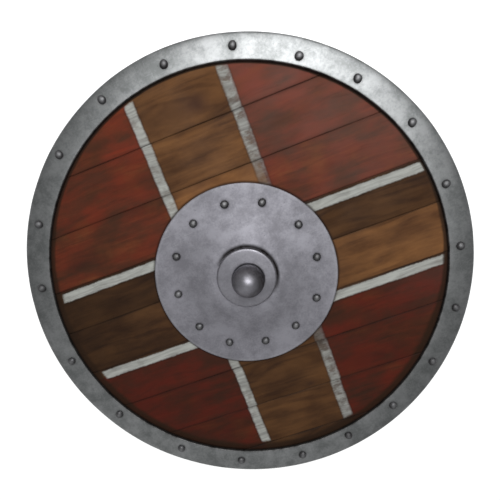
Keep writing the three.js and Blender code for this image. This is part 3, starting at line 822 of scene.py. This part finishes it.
reach = np.linspace(0, BOSS_RADIUS - 0.9, 90)
outer_face = np.stack([reach, boss_level(reach)], axis=-1)
edge = FACE_Z / MM + BOSS_EDGE_HEIGHT
turned_edge = np.array([
    (BOSS_RADIUS - 0.35, edge - 0.25), (BOSS_RADIUS, edge - 0.8), (BOSS_RADIUS, BOSS_SEAT + 0.3),
    (BOSS_RADIUS - 0.3, BOSS_SEAT),
])
inner_reach = np.linspace(BOSS_FLANGE_INNER, 0, 30)
inner_level = np.maximum(boss_level(inner_reach) - BOSS_STEEL, BOSS_SEAT)
inner_face = np.stack([inner_reach, inner_level], axis=-1)
boss_outline = np.concatenate([outer_face, turned_edge, inner_face]) * MM
points, faces = turned(boss_outline, BOSS_SIDES, closed=False)
radius = np.hypot(points[:, 0], points[:, 1])
is_face = (points[:, 2] > (boss_level(radius / MM) - 0.5) * MM) & (radius < (BOSS_RADIUS - 1) * MM)
points[:, 0] += boss_x
points[:, 1] += boss_y
points[:, 2] -= knocked(points, 0.3, 30, 201) * is_face
from_knob, knob_side = from_middle(points, knob_x, knob_y)
groove = np.exp(-((from_knob / MM - COLLAR_RADIUS - GROOVE_OFF) / GROOVE_WIDTH) ** 2)
groove *= shadowed_side(knob_side) * is_face
points[:, 2] -= groove * GROOVE_DEPTH * MM
# Painted shade: dark rings round the rivets' feet, and the sunk ring round the collar darkened on its
# upper right side
dirt_and_shade = near_places(points, boss_rivet_places, 1.0 * MM) * 0.6
dirt_and_shade = np.maximum(dirt_and_shade, groove * GROOVE_SHADE)
rub = np.clip((radius / MM - BOSS_RADIUS + 4.5) / 3, 0, 1) * is_face
boss_steel = steel_material("boss_steel", BOSS_BRIGHT, BOSS_DULL, 0.68, 0.08, metallic=0.85)
add_piece(
    "boss_dome", points, faces, boss_steel, ["boss"],
    {"dirt_and_shade": dirt_and_shade * is_face, "rub": rub * 0.3}, crease=50,
)

# The knob. A steel ball on a round collar is turned in one piece, a little off the middle of
# the boss. Its tang goes through the boss and is hammered over inside.
COLLAR_THICKNESS, COLLAR_BEVEL = 4.5, 1.5
KNOB_RADIUS, KNOB_ABOVE_COLLAR = 21.0, 9.0
BALL_OFF_X, BALL_OFF_Y = 1.3, -2.5
KNOB_SIDES = 160
# The collar's top leans over to the ball's middle from this radius in
LEAN_FROM = 36
knob_low, knob_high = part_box("knob")[0].z / MM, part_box("knob")[1].z / MM
ball_middle = knob_high - KNOB_RADIUS
collar_top = ball_middle - KNOB_ABOVE_COLLAR
collar_base = collar_top - COLLAR_THICKNESS
neck_angle = -math.asin((KNOB_ABOVE_COLLAR - 1.0) / KNOB_RADIUS)
neck = KNOB_RADIUS * math.cos(neck_angle)
stem = softened([
    (0, knob_low, 0), (9.5, knob_low + 0.6, 1.0), (9.5, knob_low + 2.4, 0.4), (6, knob_low + 2.5, 0),
    (6, collar_base - 0.2, 0), (COLLAR_RADIUS, collar_base - 0.2, 0.1),
    (COLLAR_RADIUS, collar_top - COLLAR_BEVEL, 0.6), (COLLAR_RADIUS - COLLAR_BEVEL, collar_top, 1.2),
    (neck + 2.4, collar_top + 0.55, 1.4), (neck + 0.8, collar_top - 0.7, 0.5),
    (neck - 0.4, collar_top - 0.6, 0),
], closed=False)
sweep = np.linspace(neck_angle, math.pi / 2, 40)
ball = np.stack([KNOB_RADIUS * np.cos(sweep), ball_middle + KNOB_RADIUS * np.sin(sweep)], axis=-1) * MM
ball[-1, 0] = 0
points, faces = turned(np.concatenate([stem, ball]), KNOB_SIDES, closed=False)
radius, level = np.hypot(points[:, 0], points[:, 1]) / MM, points[:, 2] / MM
side = from_middle(points, 0, 0)[1]
off_collar = np.clip((LEAN_FROM - radius) / (LEAN_FROM - neck - 3), 0, 1) * (level > collar_base + 0.5)
points[:, 0] += knob_x + off_collar * BALL_OFF_X * MM
points[:, 1] += knob_y + off_collar * BALL_OFF_Y * MM
# Painted shade: in the groove at the ball's neck, on the collar's wall and bevel at the upper right,
# and on the ball's flanks, darkened where a polished ball shows dark reflections
in_groove = np.exp(-np.abs(radius - neck - 0.6) / 1.2) * (np.abs(level - collar_top) < 4)
in_groove *= 0.75 + 0.25 * np.cos(side)
under_edge = (radius > COLLAR_RADIUS - 0.5) * (level < collar_top - 1.3)
under_edge = under_edge * shadowed_side(side) * GROOVE_SHADE
on_ball = (radius < KNOB_RADIUS + 0.1) & (level > collar_top)
flank = np.clip((radius / KNOB_RADIUS - 0.28) / 0.42, 0, 1) * on_ball
painted_dark_flank = flank * (0.6 + 0.2 * np.cos(side) ** 2 + 0.3 * np.cos(side) + 0.1 * np.sin(side))
grime_and_shade = np.maximum(np.maximum(in_groove, under_edge), painted_dark_flank)
at_edge = np.clip(radius - COLLAR_RADIUS + 2.4, 0, 1) * (level > collar_top - 1.2)
at_edge *= shadowed_side(side)
add_piece(
    "knob_and_collar", points, faces,
    steel_material("knob_steel", BOSS_BRIGHT, BOSS_DULL, 0.44, 0.03), ["knob"],
    {"dirt_and_shade": np.maximum(grime_and_shade, at_edge * 0.25), "rub": radius * 0}, crease=35,
)

# The battens. Two straight bars of the same wood are nailed across the back, ends sloped
# down to the planks. The shield lies on them.
BATTEN_RECESS = 0.4
NAIL_SECTION = [(0, 0.02, 0), (2.6, 0.02, 1.5), (4.4, 0.3, 0.2), (4.4, 1.4, 0), (0, 1.4, 0)]
NAIL_SIDES = 18
OILED_DARK, OILED_LIGHT = srgb(70, 48, 30), srgb(138, 102, 66)


def oiled_wood_material(name, shift):
    """Plain oiled wood with its grain along Y"""
    material, tree, surface = new_material(name)
    xyz = add_node(
        tree, "SeparateXYZ", {0: add_node(tree, "TexCoord", {}).outputs["Object"]},
    ).outputs
    place = add_node(tree, "CombineXYZ", {0: xyz["Y"], 1: xyz["X"], 2: xyz["Z"]}).outputs[0]
    grain = use_group(tree, wood_grain, {"Place": place, "Flow": 0.0, "Shift": shift})
    dirt_and_shade = attribute(tree, "dirt_and_shade")
    lit = maths(tree, "MULTIPLY", fade(tree, grain["Bands"], 0.3, 0.72), 0.7)
    lit = maths(tree, "MULTIPLY_ADD", fade(tree, grain["Fibres"], 0.3, 0.7), 0.3, lit)
    colour = coat(tree, lit, OILED_DARK, OILED_LIGHT)
    dark = maths(tree, "MAXIMUM", maths(tree, "MULTIPLY", grain["Pores"], 0.4), dirt_and_shade)
    colour = coat(tree, dark, colour, DIRT_AND_SHADE_DARK)
    tree.links.new(colour, surface["Base Color"])
    tree.links.new(fade(tree, grain["Patches"], 0.3, 0.7, 0.5, 0.72), surface["Roughness"])
    height = maths(tree, "SUBTRACT", grain["Fibres"], grain["Pores"])
    bump = add_node(tree, "Bump", {"Height": height, "Strength": 0.35, "Distance": 0.4 * MM})
    tree.links.new(bump.outputs[0], surface["Normal"])
    return material


def bar(stations, seed):
    """A bar along Y with rounded edges, through [y, width, front, thickness, rounding] in mm"""
    around = 40
    angle = np.linspace(0, 2 * math.pi, around, endpoint=False) + math.pi / around
    points = []
    for y, width, front, thickness, rounding in stations:
        w, t = width / 2 - rounding, thickness / 2 - rounding
        x = np.clip(np.cos(angle) * 3, -1, 1) * w + np.cos(angle) * rounding
        z = np.clip(np.sin(angle) * 3, -1, 1) * t + np.sin(angle) * rounding
        ring = np.stack([x, np.full(around, y), front - thickness / 2 + z], axis=-1)
        points.append(ring)
    points = np.array(points)
    flat = points.reshape(-1, 3) * MM
    worn = noise_field(flat[:, 0] + flat[:, 2], flat[:, 1], 9 * MM, 34 * MM, seed) * 0.5
    middle = flat.reshape(points.shape).mean(axis=1, keepdims=True)
    shrink = (1 - worn.reshape(points.shape[:2] + (1,)) * 0.06)
    shaped = middle + (flat.reshape(points.shape) - middle) * np.where([True, False, True], shrink, 1)
    rings = len(points)
    at = np.arange(rings * around).reshape(rings, around)
    ahead = np.roll(at, -1, axis=1)
    quads = np.stack([at[:-1], ahead[:-1], ahead[1:], at[1:]], axis=-1).reshape(-1, 4).tolist()
    quads += [at[0].tolist(), at[-1].tolist()]
    return shaped.reshape(-1, 3), quads


for node, shift in (("batten_left", 5.3), ("batten_right", 6.1)):
    low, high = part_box(node)
    half, depth = high.y / MM, high.z / MM
    stations = []
    for y in np.linspace(-half, half, 90):
        slope = np.clip((half - abs(y)) / 14, 0, 1)
        thickness = 7 + (depth - BATTEN_RECESS - 7) * math.sin(slope * math.pi / 2)
        stations.append((y, (high.x - low.x) / MM, depth, thickness, 2.2))
    points, faces = bar(stations, int(shift * 10))
    points[:, 0] += (low.x + high.x) / 2
    add_piece(
        f"{node}_wood", points, faces, oiled_wood_material(f"{node}_wood", shift),
        [node], {"dirt_and_shade": np.zeros(len(points))},
    )
    nails, heads, chance = [], [], np.random.default_rng(int(shift * 10))
    for number in range(1, len(PLANKS) + 1):
        plank_low, plank_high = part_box(f"plank_{number}")
        for share in (0.3, 0.7):
            y = plank_low.y + (plank_high.y - plank_low.y) * share + chance.uniform(-3, 3) * MM
            if abs(y) > (half - 22) * MM:
                continue
            head, around = turned(softened(NAIL_SECTION, closed=False), NAIL_SIDES, closed=False)
            head[:, 0] += (low.x + high.x) / 2 + (share - 0.5) * 26 * MM
            head[:, 1] += y
            first = sum(len(other) for other in nails)
            heads += [[k + first for k in face] for face in around]
            nails.append(head)
    points = np.concatenate(nails)
    add_piece(
        f"{node}_nails", points, heads, iron, (),
        {"dirt_and_shade": points[:, 2] * 0 + 0.3, "rub": points[:, 2] * 0},
    )

# The grip. One bar of oiled wood crosses the hand hole, rounded where the hand closes on it
# and wider and thinner beyond, with two of the boss's rivets through it.
GRIP_HAND_REACH, GRIP_SHOULDER_REACH = 45.0, 73.0
GRIP_HAND_WIDTH, GRIP_SHOULDER_WIDTH, GRIP_END_WIDTH = 33.0, 42.0, 22.0
GRIP_HAND_THICKNESS, GRIP_SHOULDER_THICKNESS, GRIP_END_THICKNESS = 15.0, 12.0, 7.0
GRIP_SHOULDER_END = 98.0
grip_low, grip_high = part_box("grip")
half, front = grip_high.y / MM, grip_high.z / MM
stations = []
for y in np.linspace(-half, half, 170):
    out = abs(y)
    swell = np.clip((out - GRIP_HAND_REACH) / (GRIP_SHOULDER_REACH - GRIP_HAND_REACH), 0, 1)
    swell = swell * swell * (3 - 2 * swell)
    taper = np.clip((out - GRIP_SHOULDER_END) / (half - GRIP_SHOULDER_END), 0, 1)
    width = GRIP_HAND_WIDTH + (GRIP_SHOULDER_WIDTH - GRIP_HAND_WIDTH) * swell
    width += (GRIP_END_WIDTH - GRIP_SHOULDER_WIDTH) * taper
    thickness = GRIP_HAND_THICKNESS + (GRIP_SHOULDER_THICKNESS - GRIP_HAND_THICKNESS) * swell
    thickness += (GRIP_END_THICKNESS - GRIP_SHOULDER_THICKNESS) * taper
    stations.append((y, width, front, thickness, 5.5 - 3.7 * swell))
points, faces = bar(stations, 77)
handled = np.clip(1 - np.abs(points[:, 1]) / (60 * MM), 0, 1) * 0.45
add_piece(
    "grip_wood", points, faces, oiled_wood_material("grip_wood", 7.7), ["grip"],
    {"dirt_and_shade": handled},
)

# The boss's rivets, closed like the rim's once the boss and the grip were in place.
for seed, node in enumerate(boss_rivets, 700):
    rivet_piece(node, seed)

# Floor and light: a plain white floor, a soft lamp above the picture's upper edge, a weak one
# below its lower edge, a small one beside the camera and an even grey all round.
FLOOR_HALF = 4.0
FLOOR_GLOW = 0.6
WORLD_LIGHT = 0.22
floor_mesh = bpy.data.meshes.new("floor")
corners = [(-FLOOR_HALF, -FLOOR_HALF, 0), (FLOOR_HALF, -FLOOR_HALF, 0)]
corners += [(FLOOR_HALF, FLOOR_HALF, 0), (-FLOOR_HALF, FLOOR_HALF, 0)]
floor_mesh.from_pydata(corners, [], [(0, 1, 2, 3)])
floor = bpy.data.objects.new("floor", floor_mesh)
bpy.context.collection.objects.link(floor)
floor_paint, _, floor_surface = new_material("pale_floor")
floor_surface["Base Color"].default_value = (0.9, 0.9, 0.9, 1)
floor_surface["Roughness"].default_value = 0.9
floor_surface["Emission Color"].default_value = (1, 1, 1, 1)
floor_surface["Emission Strength"].default_value = FLOOR_GLOW
floor_mesh.materials.append(floor_paint)


def soft_lamp(name, place, aim, width, height, power):
    """A lamp with its place and aim in mm in the picture's frame, its size in m and power in W"""
    lamp = bpy.data.lights.new(name, "AREA")
    lamp.shape = "RECTANGLE"
    lamp.size, lamp.size_y, lamp.energy = width, height, power
    holder = bpy.data.objects.new(name, lamp)
    holder.matrix_world = aimed(from_picture(*place), from_picture(*aim))
    bpy.context.collection.objects.link(holder)


soft_lamp("key_lamp", (165, 850, 1300), (60, 90, 0), 0.9, 1.0, 11.3)
soft_lamp("fill_lamp", (-250, -900, 650), (0, -60, 0), 1.6, 1.2, 1.1)
soft_lamp("camera_lamp", (37, 270, 960), (0, 0, 0), 0.16, 0.16, 1.8)
world = bpy.data.worlds.new("studio")
bpy.context.scene.world = world
world.use_nodes = True
world.node_tree.nodes["Background"].inputs["Color"].default_value = (1, 1, 1, 1)
world.node_tree.nodes["Background"].inputs["Strength"].default_value = WORLD_LIGHT
bpy.context.scene.view_settings.view_transform = "Standard"
